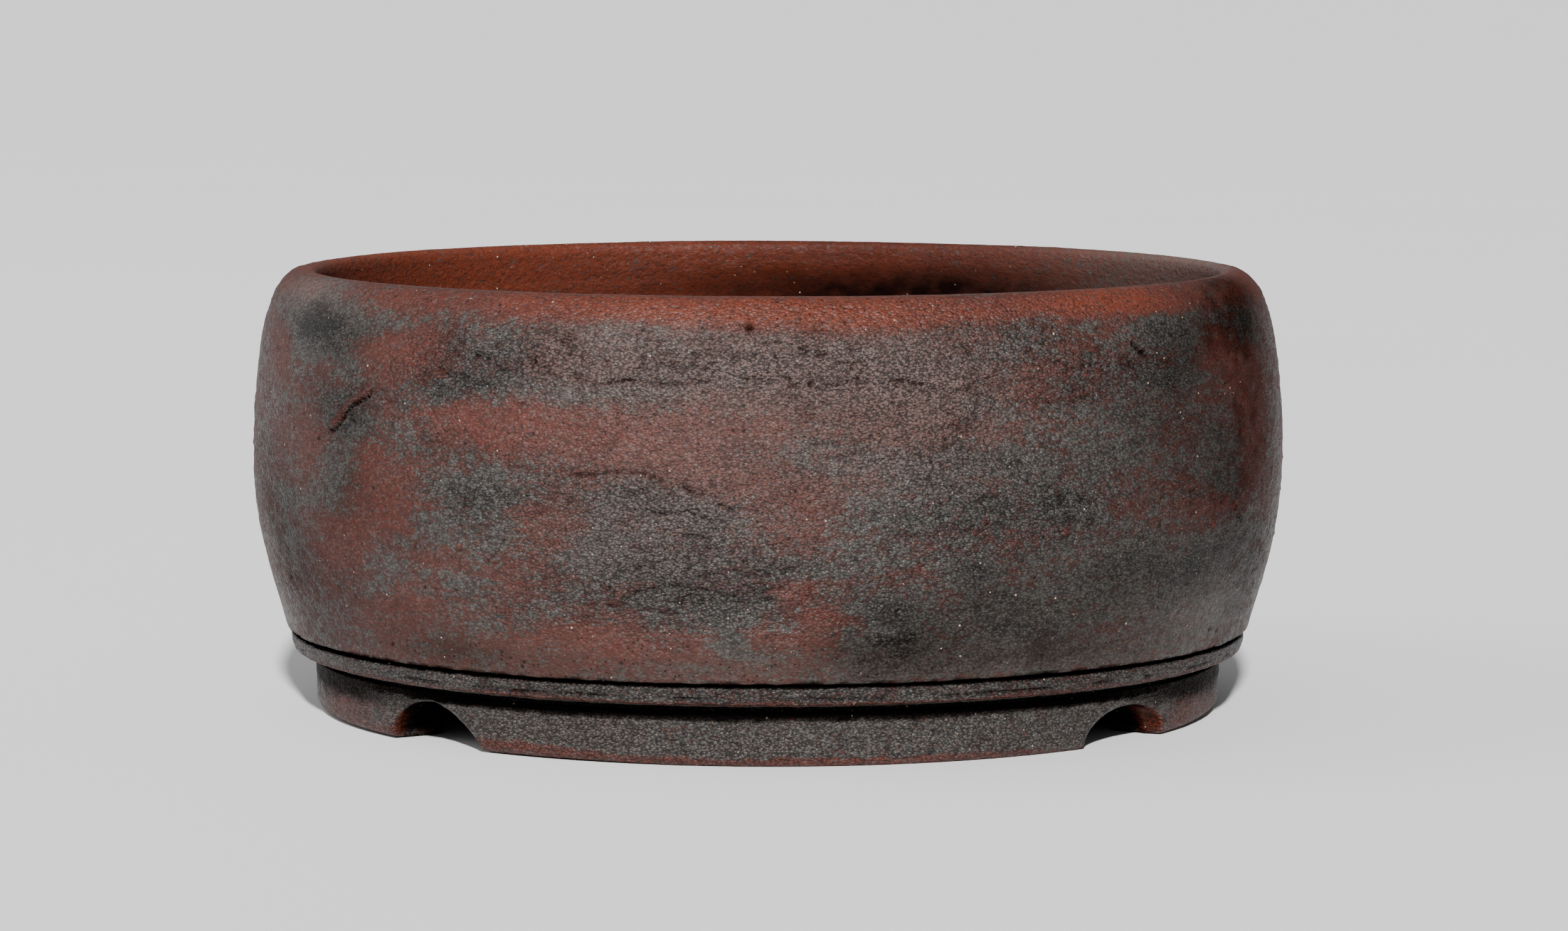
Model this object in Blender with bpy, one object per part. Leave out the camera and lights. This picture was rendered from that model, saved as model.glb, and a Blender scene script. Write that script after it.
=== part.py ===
"""Round unglazed stoneware bonsai pot with an in-turned rim and a notched foot ring.

The clay is three pieces luted together before firing: the wall, the floor slab and the foot
ring. A plastic drainage screen lies on the floor over the drain hole, and a wire clip holds
it down. Metres, +Z up, standing on z = 0, with the front towards -Y.
"""

import math

import bmesh
import bpy
from mathutils import Matrix, Vector

MM = 0.001

# Driving dimensions of the pot, in metres.
POT_RADIUS = 75.0 * MM
POT_HEIGHT = 64.0 * MM
BELLY_HEIGHT = 36.0 * MM
WALL_THICKNESS = 6.8 * MM
LIP_INNER_RADIUS = 65.8 * MM
LIP_CREST_RADIUS = 67.3 * MM
JOINT_HEIGHT = 11.7 * MM
JOINT_RADIUS = 69.9 * MM
GROOVE_WIDTH = 0.9 * MM
GROOVE_DEPTH = 0.9 * MM
FLOOR_THICKNESS = 6.0 * MM
FLOOR_UNDERSIDE = 7.7 * MM
FLOOR_BAND_RADIUS = 69.7 * MM
FLOOR_BAND_BOTTOM = 9.0 * MM
FLOOR_SEAT_RADIUS = 62.5 * MM
FOOT_TOP_RADIUS = 66.3 * MM
FOOT_BOTTOM_RADIUS = 66.1 * MM
FOOT_RING_WIDTH = 9.2 * MM
LUTED_GAP = 0.3 * MM

# Four arched notches in the foot ring, in two opposite pairs, as degrees round from the front.
NOTCH_WIDTH = 18.6 * MM
NOTCH_HEIGHT = 5.7 * MM
NOTCH_AZIMUTHS_DEG = (50.0, 134.5, 230.0, 315.0)

# Drain hole and the smaller holes for the wire that ties a tree down.
DRAIN_RADIUS = 9.0 * MM
WIRE_HOLE_COUNT = 4
WIRE_HOLE_RADIUS = 1.75 * MM
WIRE_HOLE_CIRCLE = 34.0 * MM

# Drainage screen: a square plastic lattice with an odd number of openings a side.
SCREEN_OPENINGS = 9
SCREEN_PITCH = 3.0 * MM
SCREEN_BAR = 0.9 * MM
SCREEN_THICKNESS = 0.8 * MM

# Butterfly clip: one length of annealed wire with two loops on top and two bent legs below.
CLIP_WIRE_RADIUS = 0.6 * MM
CLIP_LEG_X = 2 * SCREEN_PITCH
CLIP_LOOP_RADIUS = 3.6 * MM
CLIP_TAIL_X = 15.0 * MM
CLIP_BEND = 1.3 * MM

TURN_STEPS = 96
EDGE_ROUNDING = 0.6 * MM
# A small twist that keeps a cutter's corners off the edges of the solid that it cuts.
OFF_SEAM_ANGLE = math.radians(4.0)

FLOOR_TOP = FLOOR_UNDERSIDE + FLOOR_THICKNESS
FOOT_HEIGHT = FLOOR_UNDERSIDE - LUTED_GAP
SCREEN_UNDERSIDE = FLOOR_TOP + LUTED_GAP
SCREEN_TOP = SCREEN_UNDERSIDE + SCREEN_THICKNESS

STONEWARE = (0.115, 0.052, 0.042)
FLOOR_CLAY = (0.120, 0.048, 0.036)
FOOT_CLAY = (0.105, 0.055, 0.046)
SCREEN_PLASTIC = (0.012, 0.013, 0.013)
CLIP_METAL = (0.42, 0.31, 0.22)


def clear_scene():
    for obj in list(bpy.data.objects):
        bpy.data.objects.remove(obj, do_unlink=True)


def add_material(name, colour, roughness, metallic=0.0):
    material = bpy.data.materials.new(name)
    material.use_nodes = True
    shader = material.node_tree.nodes["Principled BSDF"]
    shader.inputs["Base Color"].default_value = (*colour, 1.0)
    shader.inputs["Roughness"].default_value = roughness
    shader.inputs["Metallic"].default_value = metallic
    return material


def smooth_path(knots, steps):
    """Points on a Catmull-Rom curve through the knots, with the given steps to each span."""
    knots = [Vector(knot) for knot in knots]
    padded = [2 * knots[0] - knots[1], *knots, 2 * knots[-1] - knots[-2]]
    points = []
    for before, start, end, after in zip(padded, padded[1:], padded[2:], padded[3:]):
        for step in range(steps):
            t = step / steps
            points.append(
                0.5
                * (
                    2 * start
                    + (end - before) * t
                    + (2 * before - 5 * start + 4 * end - after) * t**2
                    + (3 * start - before - 3 * end + after) * t**3
                )
            )
    points.append(knots[-1])
    return points


def add_object(name, mesh, material):
    obj = bpy.data.objects.new(name, mesh)
    bpy.context.scene.collection.objects.link(obj)
    mesh.materials.append(material)
    return obj


def finish_mesh(name, shape, material, sharp_deg=30.0):
    """Turn a closed bmesh into a smooth-shaded object whose faces point outwards."""
    bmesh.ops.recalc_face_normals(shape, faces=shape.faces)
    mesh = bpy.data.meshes.new(name)
    shape.to_mesh(mesh)
    shape.free()
    mesh.shade_smooth()
    mesh.set_sharp_from_angle(angle=math.radians(sharp_deg))
    return add_object(name, mesh, material)


def turned(name, outline, material):
    """Revolve a closed outline of (radius, height) points about the Z axis."""
    shape = bmesh.new()
    rings = []
    for step in range(TURN_STEPS):
        angle = 2 * math.pi * step / TURN_STEPS
        across, along = math.cos(angle), math.sin(angle)
        rings.append([shape.verts.new((r * across, r * along, z)) for r, z in outline])
    for ring, following in zip(rings, rings[1:] + rings[:1]):
        for i in range(len(outline)):
            j = (i + 1) % len(outline)
            shape.faces.new((ring[i], following[i], following[j], ring[j]))
    return finish_mesh(name, shape, material)


def cut(obj, cutter):
    """Subtract a helper solid, which stays in the scene as a hidden wire shape."""
    cutter.hide_render = True
    cutter.display_type = "WIRE"
    modifier = obj.modifiers.new("cut_" + cutter.name, "BOOLEAN")
    modifier.operation = "DIFFERENCE"
    modifier.object = cutter


def cylinder_cutter(name, radius, length, placement, steps):
    shape = bmesh.new()
    bmesh.ops.create_cone(
        shape, cap_ends=True, segments=steps, radius1=radius, radius2=radius, depth=length
    )
    mesh = bpy.data.meshes.new(name)
    shape.to_mesh(mesh)
    shape.free()
    cutter = bpy.data.objects.new(name, mesh)
    bpy.context.scene.collection.objects.link(cutter)
    cutter.matrix_world = placement
    return cutter


def wall_outline():
    """Outer belly, rolled lip, undercut inner face and the flat seat on the floor slab."""
    top = POT_HEIGHT
    outer = smooth_path(
        [
            (JOINT_RADIUS + 0.05 * MM, JOINT_HEIGHT + GROOVE_WIDTH / 2),
            (POT_RADIUS - 1.9 * MM, BELLY_HEIGHT - 13.1 * MM),
            (POT_RADIUS, BELLY_HEIGHT),
            (POT_RADIUS - 0.5 * MM, BELLY_HEIGHT + 11.0 * MM),
            (POT_RADIUS - 1.6 * MM, top - 8.3 * MM),
            (POT_RADIUS - 3.5 * MM, top - 2.6 * MM),
            (LIP_CREST_RADIUS, top),
        ],
        3,
    )
    lip_edge = [
        (LIP_INNER_RADIUS + 0.4 * MM, top - 0.15 * MM),
        (LIP_INNER_RADIUS, top - 0.7 * MM),
    ]
    seat_radius = FLOOR_SEAT_RADIUS + LUTED_GAP
    inner = smooth_path(
        [
            (LIP_INNER_RADIUS + 0.1 * MM, top - 2.0 * MM),
            (POT_RADIUS - WALL_THICKNESS - 0.6 * MM, top - 14.0 * MM),
            (POT_RADIUS - WALL_THICKNESS, BELLY_HEIGHT),
            (POT_RADIUS - WALL_THICKNESS - 2.0 * MM, BELLY_HEIGHT - 13.1 * MM),
            (seat_radius, FLOOR_TOP + 0.2 * MM),
        ],
        2,
    )
    seat = [
        (seat_radius, JOINT_HEIGHT + LUTED_GAP / 2),
        (JOINT_RADIUS - GROOVE_DEPTH, JOINT_HEIGHT + LUTED_GAP / 2),
    ]
    return [*outer, *lip_edge, *inner, *seat]


def floor_outline():
    """Slab with a drain hole at its centre and a flange under the wall, undercut to the foot."""
    flange_top = JOINT_HEIGHT - LUTED_GAP / 2
    band = FLOOR_BAND_RADIUS
    return [
        (DRAIN_RADIUS + EDGE_ROUNDING, FLOOR_TOP),
        (FLOOR_SEAT_RADIUS, FLOOR_TOP),
        (FLOOR_SEAT_RADIUS, flange_top),
        (JOINT_RADIUS - GROOVE_DEPTH, flange_top),
        (band - 0.15 * MM, JOINT_HEIGHT - GROOVE_WIDTH / 2 + 0.1 * MM),
        (band, JOINT_HEIGHT - GROOVE_WIDTH / 2 - 0.15 * MM),
        (band - 0.4 * MM, FLOOR_BAND_BOTTOM),
        (FOOT_TOP_RADIUS + 0.3 * MM, FLOOR_UNDERSIDE),
        (DRAIN_RADIUS + EDGE_ROUNDING, FLOOR_UNDERSIDE),
        (DRAIN_RADIUS, FLOOR_UNDERSIDE + EDGE_ROUNDING),
        (DRAIN_RADIUS, FLOOR_TOP - EDGE_ROUNDING),
    ]


def foot_outline():
    """Nearly upright ring with a flat tread and softened edges."""
    outer = FOOT_BOTTOM_RADIUS
    inner = FOOT_BOTTOM_RADIUS - FOOT_RING_WIDTH + 0.4 * MM
    return [
        (FOOT_TOP_RADIUS, FOOT_HEIGHT),
        (outer, 2.0 * MM),
        (outer - 0.35 * MM, 0.8 * MM),
        (outer - 0.9 * MM, 0.25 * MM),
        (outer - 1.7 * MM, 0.0),
        (inner + 1.0 * MM, 0.0),
        (inner + 0.3 * MM, 0.3 * MM),
        (inner, 1.0 * MM),
        (FOOT_TOP_RADIUS - FOOT_RING_WIDTH, FOOT_HEIGHT),
    ]


def build_wall():
    turned("wall", wall_outline(), add_material("iron_washed_stoneware", STONEWARE, 0.55))


def build_floor():
    slab = turned("floor_slab", floor_outline(), add_material("floor_clay", FLOOR_CLAY, 0.7))
    for index in range(WIRE_HOLE_COUNT):
        turn = Matrix.Rotation(2 * math.pi * index / WIRE_HOLE_COUNT, 4, "Z")
        offset = Vector((WIRE_HOLE_CIRCLE, 0.0, FLOOR_UNDERSIDE + FLOOR_THICKNESS / 2))
        placement = turn @ Matrix.Translation(offset) @ Matrix.Rotation(OFF_SEAM_ANGLE, 4, "Z")
        length = FLOOR_THICKNESS + 4 * MM
        name = f"wire_hole_cutter_{index + 1}"
        cut(slab, cylinder_cutter(name, WIRE_HOLE_RADIUS, length, placement, 20))


def build_foot():
    ring = turned("foot_ring", foot_outline(), add_material("foot_clay", FOOT_CLAY, 0.65))
    arch_radius = (NOTCH_WIDTH**2 / 4 + NOTCH_HEIGHT**2) / (2 * NOTCH_HEIGHT)
    for index, azimuth in enumerate(NOTCH_AZIMUTHS_DEG):
        turn = Matrix.Rotation(math.radians(azimuth - 90), 4, "Z")
        offset = Vector((FOOT_TOP_RADIUS, 0.0, NOTCH_HEIGHT - arch_radius))
        lay_down = Matrix.Rotation(math.pi / 2, 4, "Y")
        placement = turn @ Matrix.Translation(offset) @ lay_down
        name = f"notch_cutter_{index + 1}"
        cut(ring, cylinder_cutter(name, arch_radius, 3 * FOOT_RING_WIDTH, placement, 48))


def build_screen():
    """Square lattice: every other column and row of cells is a bar, the rest are openings."""
    cells = 2 * SCREEN_OPENINGS + 1
    half = (SCREEN_OPENINGS * SCREEN_PITCH + SCREEN_BAR) / 2
    lines = [0.0]
    for cell in range(cells):
        lines.append(lines[-1] + (SCREEN_PITCH - SCREEN_BAR if cell % 2 else SCREEN_BAR))
    solid = {(i, j) for i in range(cells) for j in range(cells) if not (i % 2 and j % 2)}
    shape = bmesh.new()
    corners = {}

    def corner(i, j, level):
        if (i, j, level) not in corners:
            place = (lines[i] - half, lines[j] - half, (SCREEN_UNDERSIDE, SCREEN_TOP)[level])
            corners[i, j, level] = shape.verts.new(place)
        return corners[i, j, level]

    for i, j in sorted(solid):
        around = [(i, j), (i + 1, j), (i + 1, j + 1), (i, j + 1)]
        shape.faces.new([corner(*place, 1) for place in around])
        shape.faces.new([corner(*place, 0) for place in reversed(around)])
        neighbours = [(i, j - 1), (i + 1, j), (i, j + 1), (i - 1, j)]
        for side, neighbour in enumerate(neighbours):
            if neighbour not in solid:
                start, end = around[side], around[(side + 1) % 4]
                shape.faces.new(
                    (corner(*start, 0), corner(*end, 0), corner(*end, 1), corner(*start, 1))
                )
    finish_mesh("drain_screen", shape, add_material("screen_plastic", SCREEN_PLASTIC, 0.5))


def clip_half_route():
    """One leg and one loop of the clip, from the tail under the floor to the centre on top."""
    below = FLOOR_UNDERSIDE - LUTED_GAP - CLIP_WIRE_RADIUS
    above = SCREEN_TOP + LUTED_GAP + CLIP_WIRE_RADIUS
    bend = CLIP_BEND
    knots = [
        (CLIP_TAIL_X, 0.0, below),
        (CLIP_TAIL_X - 3 * MM, 0.0, below),
        (CLIP_LEG_X + 2 * bend, 0.0, below),
        (CLIP_LEG_X + bend, 0.0, below),
        (CLIP_LEG_X + 0.3 * bend, 0.0, below + 0.3 * bend),
        (CLIP_LEG_X, 0.0, below + bend),
        (CLIP_LEG_X, 0.0, below + 2 * bend),
        (CLIP_LEG_X, 0.0, above - 2 * bend),
        (CLIP_LEG_X, 0.0, above - bend),
        (CLIP_LEG_X, 0.25 * bend, above - 0.25 * bend),
    ]
    centre_x = CLIP_LEG_X + CLIP_LOOP_RADIUS
    for degrees in (155, 130, 100, 70, 40, 10, -20, -50, -80, -110, -135):
        angle = math.radians(degrees)
        across = centre_x + CLIP_LOOP_RADIUS * math.cos(angle)
        along = CLIP_LOOP_RADIUS * math.sin(angle)
        knots.append((across, along, above))
    return knots


def build_clip():
    half = clip_half_route()
    mirrored = [(-x, -y, z) for x, y, z in reversed(half)]
    centre = [(0.0, 0.0, half[-1][2])]
    points = smooth_path([*half, *centre, *mirrored], 2)
    curve = bpy.data.curves.new("screen_clip", "CURVE")
    curve.dimensions = "3D"
    curve.bevel_depth = CLIP_WIRE_RADIUS
    curve.bevel_resolution = 2
    curve.use_fill_caps = True
    spline = curve.splines.new("POLY")
    spline.points.add(len(points) - 1)
    for knot, place in zip(spline.points, points):
        knot.co = (*place, 1.0)
    add_object("screen_clip", curve, add_material("clip_wire", CLIP_METAL, 0.35, 1.0))


def main():
    clear_scene()
    build_wall()
    build_floor()
    build_foot()
    build_screen()
    build_clip()


main()
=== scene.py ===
"""Looks of the round stoneware bonsai pot: torn, iron-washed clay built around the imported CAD."""
import math

import bmesh
import bpy
import numpy as np
from mathutils import Matrix, Vector


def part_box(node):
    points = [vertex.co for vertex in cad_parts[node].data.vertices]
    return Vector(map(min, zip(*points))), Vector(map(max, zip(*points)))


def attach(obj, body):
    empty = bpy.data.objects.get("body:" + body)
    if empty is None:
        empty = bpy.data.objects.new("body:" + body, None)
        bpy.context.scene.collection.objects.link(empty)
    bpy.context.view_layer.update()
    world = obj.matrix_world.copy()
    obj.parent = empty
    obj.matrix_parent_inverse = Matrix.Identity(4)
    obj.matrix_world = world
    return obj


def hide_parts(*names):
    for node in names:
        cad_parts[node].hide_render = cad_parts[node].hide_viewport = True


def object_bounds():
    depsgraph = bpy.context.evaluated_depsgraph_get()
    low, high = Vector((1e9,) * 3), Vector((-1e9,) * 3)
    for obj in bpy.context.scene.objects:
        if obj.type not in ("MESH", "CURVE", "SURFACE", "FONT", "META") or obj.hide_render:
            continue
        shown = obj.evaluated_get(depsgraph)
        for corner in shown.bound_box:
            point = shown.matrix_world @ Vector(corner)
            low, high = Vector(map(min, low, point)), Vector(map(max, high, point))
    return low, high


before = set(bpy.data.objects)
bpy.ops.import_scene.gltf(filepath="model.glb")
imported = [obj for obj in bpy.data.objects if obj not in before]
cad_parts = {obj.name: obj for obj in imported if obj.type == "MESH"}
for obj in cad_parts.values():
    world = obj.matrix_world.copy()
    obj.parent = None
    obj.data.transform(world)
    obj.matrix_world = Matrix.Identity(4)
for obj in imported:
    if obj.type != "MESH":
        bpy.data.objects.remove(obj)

cad_low, cad_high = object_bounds()

MM = 0.001
TAU = 2 * math.pi

# ---------------------------------------------------------------- sizes from the frame
POT_HEIGHT = cad_high.z - cad_low.z
POT_RADIUS = (cad_high.x - cad_low.x) / 2
WALL_LOW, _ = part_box("wall")
FLOOR_LOW, FLOOR_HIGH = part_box("floor_slab")
_, FOOT_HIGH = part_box("foot_ring")
SCREEN_LOW, SCREEN_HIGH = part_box("drain_screen")
_, CLIP_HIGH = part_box("screen_clip")
BAND_RADIUS = FLOOR_HIGH.x
FOOT_RADIUS = FOOT_HIGH.x
LUTED_GAP = 0.3 * MM
JOINT_HEIGHT = WALL_LOW.z - LUTED_GAP / 2
JOINT = JOINT_HEIGHT / MM
FLOOR_TOP = FLOOR_HIGH.z
FLOOR_UNDERSIDE = FLOOR_LOW.z
LIP_INNER_RADIUS = 65.8 * MM
DRAIN_RADIUS = 9.0 * MM
WIRE_HOLE_CIRCLE = 34.0 * MM
WIRE_HOLE_RADIUS = 1.75 * MM
NOTCH_WIDTH = 18.6
# Azimuth, height in mm, and the straighter flank: 1 at larger azimuths, -1 at smaller, 0 neither.
NOTCHES = ((50.0, 5.1, 0), (134.5, 5.6, 0), (-130.0, 5.7, -1), (-45.0, 6.1, 1))
WALL_COLUMNS = 1000
FLOOR_COLUMNS = 900
FOOT_COLUMNS = 760


# ---------------------------------------------------------------- small maths helpers
def ease(low, high, value):
    t = np.clip((value - low) / (high - low), 0, 1)
    return t * t * (3 - 2 * t)


def smooth_path(knots, spacing):
    """Points about one spacing apart on a Catmull-Rom curve through the knots."""
    knots = np.array(knots, float)
    padded = np.vstack([2 * knots[0] - knots[1], knots, 2 * knots[-1] - knots[-2]])
    points = []
    for i in range(len(knots) - 1):
        before, start, end, after = padded[i : i + 4]
        steps = max(1, math.ceil(np.linalg.norm(end - start) / spacing))
        t = np.linspace(0, 1, steps, endpoint=False)[:, None]
        points.append(
            0.5
            * (
                2 * start
                + (end - before) * t
                + (2 * before - 5 * start + 4 * end - after) * t**2
                + (3 * start - before - 3 * end + after) * t**3
            )
        )
    return np.vstack([*points, knots[-1:]])


def straight_path(knots, spacing):
    """Points about one spacing apart on the straight lines between the knots."""
    points = []
    for start, end in zip(knots, knots[1:]):
        steps = max(1, math.ceil(math.dist(start, end) / spacing))
        points.append(np.linspace(start, end, steps, endpoint=False))
    return np.vstack([*points, [knots[-1]]])


def gradient_noise(points, seed):
    """Perlin noise at points in cell units, about -0.7 to 0.7."""
    table = np.random.default_rng(seed).permutation(256)
    table = np.concatenate([table, table])
    spread = np.random.default_rng(seed + 1).normal(size=(256, 3))
    spread /= np.linalg.norm(spread, axis=1, keepdims=True)
    cell = np.floor(points).astype(int)
    inside = points - cell
    curve = inside**3 * (inside * (inside * 6 - 15) + 10)
    total = np.zeros(len(points))
    for corner in np.ndindex(2, 2, 2):
        x, y, z = ((cell + corner) & 255).T
        slopes = spread[table[table[table[x] + y] + z]]
        weight = np.prod(np.where(corner, curve, 1 - curve), axis=1)
        total += weight * np.einsum("ij,ij->i", slopes, inside - corner)
    return total


def fractal(points, size, seed, octaves=3, stretch=(1, 1, 1), gain=0.5):
    """Layered noise, about -1 to 1, whose largest lumps are size mm across."""
    total = np.zeros(len(points))
    scaled = points / (np.array(stretch) * size * MM)
    strength, reach = 1.0, 0.0
    for octave in range(octaves):
        total += strength * gradient_noise(scaled * 2**octave + 17.3 * octave, seed + octave)
        reach += strength
        strength *= gain
    return 1.6 * total / reach


def around(points):
    """Azimuth in degrees from the front (-Y), positive to the right, and height in mm."""
    azimuth = np.degrees(np.arctan2(points[:, 0], -points[:, 1]))
    return azimuth, points[:, 2] / MM


def turn_from(azimuth, centre):
    """Degrees from a centre azimuth, between -180 and 180."""
    return (azimuth - centre + 180) % 360 - 180


def patch_sum(azimuth, height, patches):
    """Sum of soft spots: azimuth, height, half-width in degrees, half-height in mm, amount."""
    total = np.zeros(len(azimuth))
    for centre, level, half_width, half_height, amount in patches:
        across = turn_from(azimuth, centre) / half_width
        total += amount * np.exp(-(across**2) - ((height - level) / half_height) ** 2)
    return total


def beside(azimuth, height, route):
    """Signed mm from a route on the wall; positive is below a route that runs rightwards."""
    scale = math.radians(POT_RADIUS / MM)
    nearest = np.full(len(azimuth), 99.0)
    signed = np.full(len(azimuth), 99.0)
    for (start, low), (end, high) in zip(route, route[1:]):
        dx, dz = (end - start) * scale, high - low
        x, z = turn_from(azimuth, start) * scale, height - low
        t = np.clip((x * dx + z * dz) / (dx * dx + dz * dz), 0, 1)
        gap = np.hypot(x - t * dx, z - t * dz)
        closer = gap < nearest
        nearest = np.where(closer, gap, nearest)
        signed = np.where(closer, gap * np.sign(x * dz - z * dx), signed)
    return signed


def hump(value, half_width):
    return np.exp(-((value / half_width) ** 2))


def sector(azimuth, centre, half_width):
    """Soft band of azimuths around a centre, in degrees."""
    return hump(turn_from(azimuth, centre), half_width)


def spots(azimuth, height, rng, count, low, high, sizes):
    """Round bumps of height one, scattered between two heights all round the wall."""
    total = np.zeros(len(azimuth))
    scale = math.radians(POT_RADIUS / MM)
    for _ in range(count):
        centre, level = rng.uniform(-180, 180), rng.uniform(low, high)
        size, squash = rng.uniform(*sizes), rng.uniform(0.6, 1.1)
        near = (np.abs(height - level) < 3 * size) & (np.abs(turn_from(azimuth, centre)) < 4)
        x = turn_from(azimuth[near], centre) * scale / size
        z = (height[near] - level) / (size * squash)
        total[near] = np.maximum(total[near], np.exp(-((x * x + z * z) ** 1.5)))
    return total


# ---------------------------------------------------------------- turned meshes
def turned_points(outline, angles):
    """Vertices, quads and outward normals of a closed (radius, height) outline turned about Z."""
    outline = np.array(outline, float)
    columns, rows = len(angles), len(outline)
    ahead = np.roll(outline, -1, axis=0) - np.roll(outline, 1, axis=0)
    slope = np.stack([ahead[:, 1], -ahead[:, 0]], axis=1)
    slope /= np.linalg.norm(slope, axis=1, keepdims=True)
    area = np.sum(outline[:, 0] * np.roll(outline[:, 1], -1))
    area -= np.sum(np.roll(outline[:, 0], -1) * outline[:, 1])
    slope *= np.sign(area)
    turn = np.stack([np.cos(angles), np.sin(angles)], axis=1)[:, None, :]
    shape = (columns, rows, 1)
    points = np.concatenate([outline[None, :, :1] * turn, np.broadcast_to(outline[:, 1:], shape)], 2)
    normals = np.concatenate([slope[None, :, :1] * turn, np.broadcast_to(slope[:, 1:], shape)], 2)
    index = np.arange(columns * rows).reshape(columns, rows)
    near, far = index, np.roll(index, -1, axis=0)
    quads = np.stack([near, far, np.roll(far, -1, axis=1), np.roll(near, -1, axis=1)], axis=2)
    if area < 0:
        quads = quads[:, :, ::-1]
    return points.reshape(-1, 3), quads.reshape(-1, 4), normals.reshape(-1, 3)


def even_angles(columns):
    return TAU * np.arange(columns) / columns


def mesh_object(name, points, faces, marks, material):
    """A smooth-shaded object; marks are named values per vertex that its material reads."""
    mesh = bpy.data.meshes.new(name)
    mesh.from_pydata(np.asarray(points).tolist(), [], [list(face) for face in faces])
    mesh.shade_smooth()
    for mark, values in marks.items():
        layer = mesh.attributes.new(mark, "FLOAT", "POINT")
        layer.data.foreach_set("value", np.asarray(values, np.float32))
    mesh.materials.append(material)
    return linked(name, mesh)


def linked(name, data):
    """A new object in the scene."""
    obj = bpy.data.objects.new(name, data)
    bpy.context.scene.collection.objects.link(obj)
    return obj


def evaluated_mesh(obj):
    """An object's mesh with its modifiers or its curve's bevel worked out."""
    bpy.context.view_layer.update()
    graph = bpy.context.evaluated_depsgraph_get()
    return bpy.data.meshes.new_from_object(obj.evaluated_get(graph))


def place(piece, slot, *nodes):
    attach(piece, "root")
    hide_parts(*nodes)
    return piece


# ---------------------------------------------------------------- material helper
class Graph:
    """Builds a Principled material's node tree with one short call for each node."""

    def __init__(self, name):
        self.material = bpy.data.materials.new(name)
        self.material.use_nodes = True
        self.tree = self.material.node_tree
        self.shader = self.tree.nodes["Principled BSDF"]
        self.place = self.add("TexCoord", {}).outputs["Object"]

    def add(self, kind, inputs, **settings):
        node = self.tree.nodes.new("ShaderNode" + kind)
        for key, value in settings.items():
            setattr(node, key, value)
        for socket, value in inputs.items():
            self.feed(node.inputs[socket], value)
        return node

    def feed(self, socket, value):
        if isinstance(value, bpy.types.NodeSocket):
            self.tree.links.new(value, socket)
        elif hasattr(value, "__len__") and len(value) == 3 and socket.type == "RGBA":
            socket.default_value = (*value, 1)
        else:
            socket.default_value = value

    def surface(self, name, value):
        """Feed one of the shader's own inputs."""
        self.feed(self.shader.inputs[name], value)

    def mark(self, name):
        return self.add("Attribute", {}, attribute_name=name).outputs["Fac"]

    def stretch(self, scale):
        return self.add("Mapping", {"Vector": self.place, "Scale": scale}).outputs["Vector"]

    def noise(self, size, detail=3.0, roughness=0.55, vector=None):
        """Noise whose lumps are about size mm across."""
        inputs = {
            "Vector": vector or self.place,
            "Scale": 1 / (size * MM),
            "Detail": detail,
            "Roughness": roughness,
        }
        return self.add("TexNoise", inputs).outputs["Fac"]

    def cells(self, size, output="Distance", vector=None):
        inputs = {"Vector": vector or self.place, "Scale": 1 / (size * MM)}
        return self.add("TexVoronoi", inputs).outputs[output]

    def span(self, value, low, high, to_low=0.0, to_high=1.0):
        inputs = {
            "Value": value,
            "From Min": low,
            "From Max": high,
            "To Min": to_low,
            "To Max": to_high,
        }
        return self.add("MapRange", inputs, interpolation_type="SMOOTHSTEP").outputs["Result"]

    def math(self, operation, first, second=0.0):
        return self.add("Math", {0: first, 1: second}, operation=operation).outputs[0]

    def times(self, first, second):
        return self.math("MULTIPLY", first, second)

    def swing(self, noise, amount):
        """Noise centred on zero and scaled."""
        return self.times(self.math("SUBTRACT", noise, 0.5), amount)

    def total(self, *values):
        result = values[0]
        for value in values[1:]:
            result = self.math("ADD", result, value)
        return result

    def blend(self, share, first, second):
        return self.add("Mix", {0: share, 6: first, 7: second}, data_type="RGBA").outputs[2]

    def channels(self, colour):
        return self.add("SeparateColor", {0: colour}).outputs

    def flecks(self, size, chosen, radius, vector=None):
        """Round dots in a share of the cells; the radius is a share of a cell."""
        near = self.span(self.cells(size, vector=vector), radius * 0.6, radius, 1.0, 0.0)
        picked = self.channels(self.cells(size, "Color", vector))[0]
        return self.times(near, self.math("GREATER_THAN", picked, 1 - chosen))

    def bumps(self, *layers):
        """Chains (height, mm) bump layers into the shader's normal."""
        normal = None
        for height, distance in layers:
            node = self.add("Bump", {"Distance": distance * MM, "Strength": 1.0, "Height": height})
            if normal is not None:
                self.feed(node.inputs["Normal"], normal)
            normal = node.outputs["Normal"]
        self.surface("Normal", normal)


# ---------------------------------------------------------------- clay
CLAY_RED = (0.090, 0.0225, 0.0150)
CLAY_BROWN = (0.046, 0.0180, 0.0140)
CLAY_ORANGE = (0.130, 0.0265, 0.0115)
WASH_GREY = (0.055, 0.0515, 0.0455)
WASH_BLACK = (0.0055, 0.0055, 0.0060)
FILM_AND_PAINTED_SHEEN_GREY = (0.132, 0.090, 0.079)
GROG_CREAM = (0.420, 0.340, 0.250)
GROG_TAN = (0.170, 0.110, 0.075)
SHADOW_BLACK = (0.0015, 0.0012, 0.0012)


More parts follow.
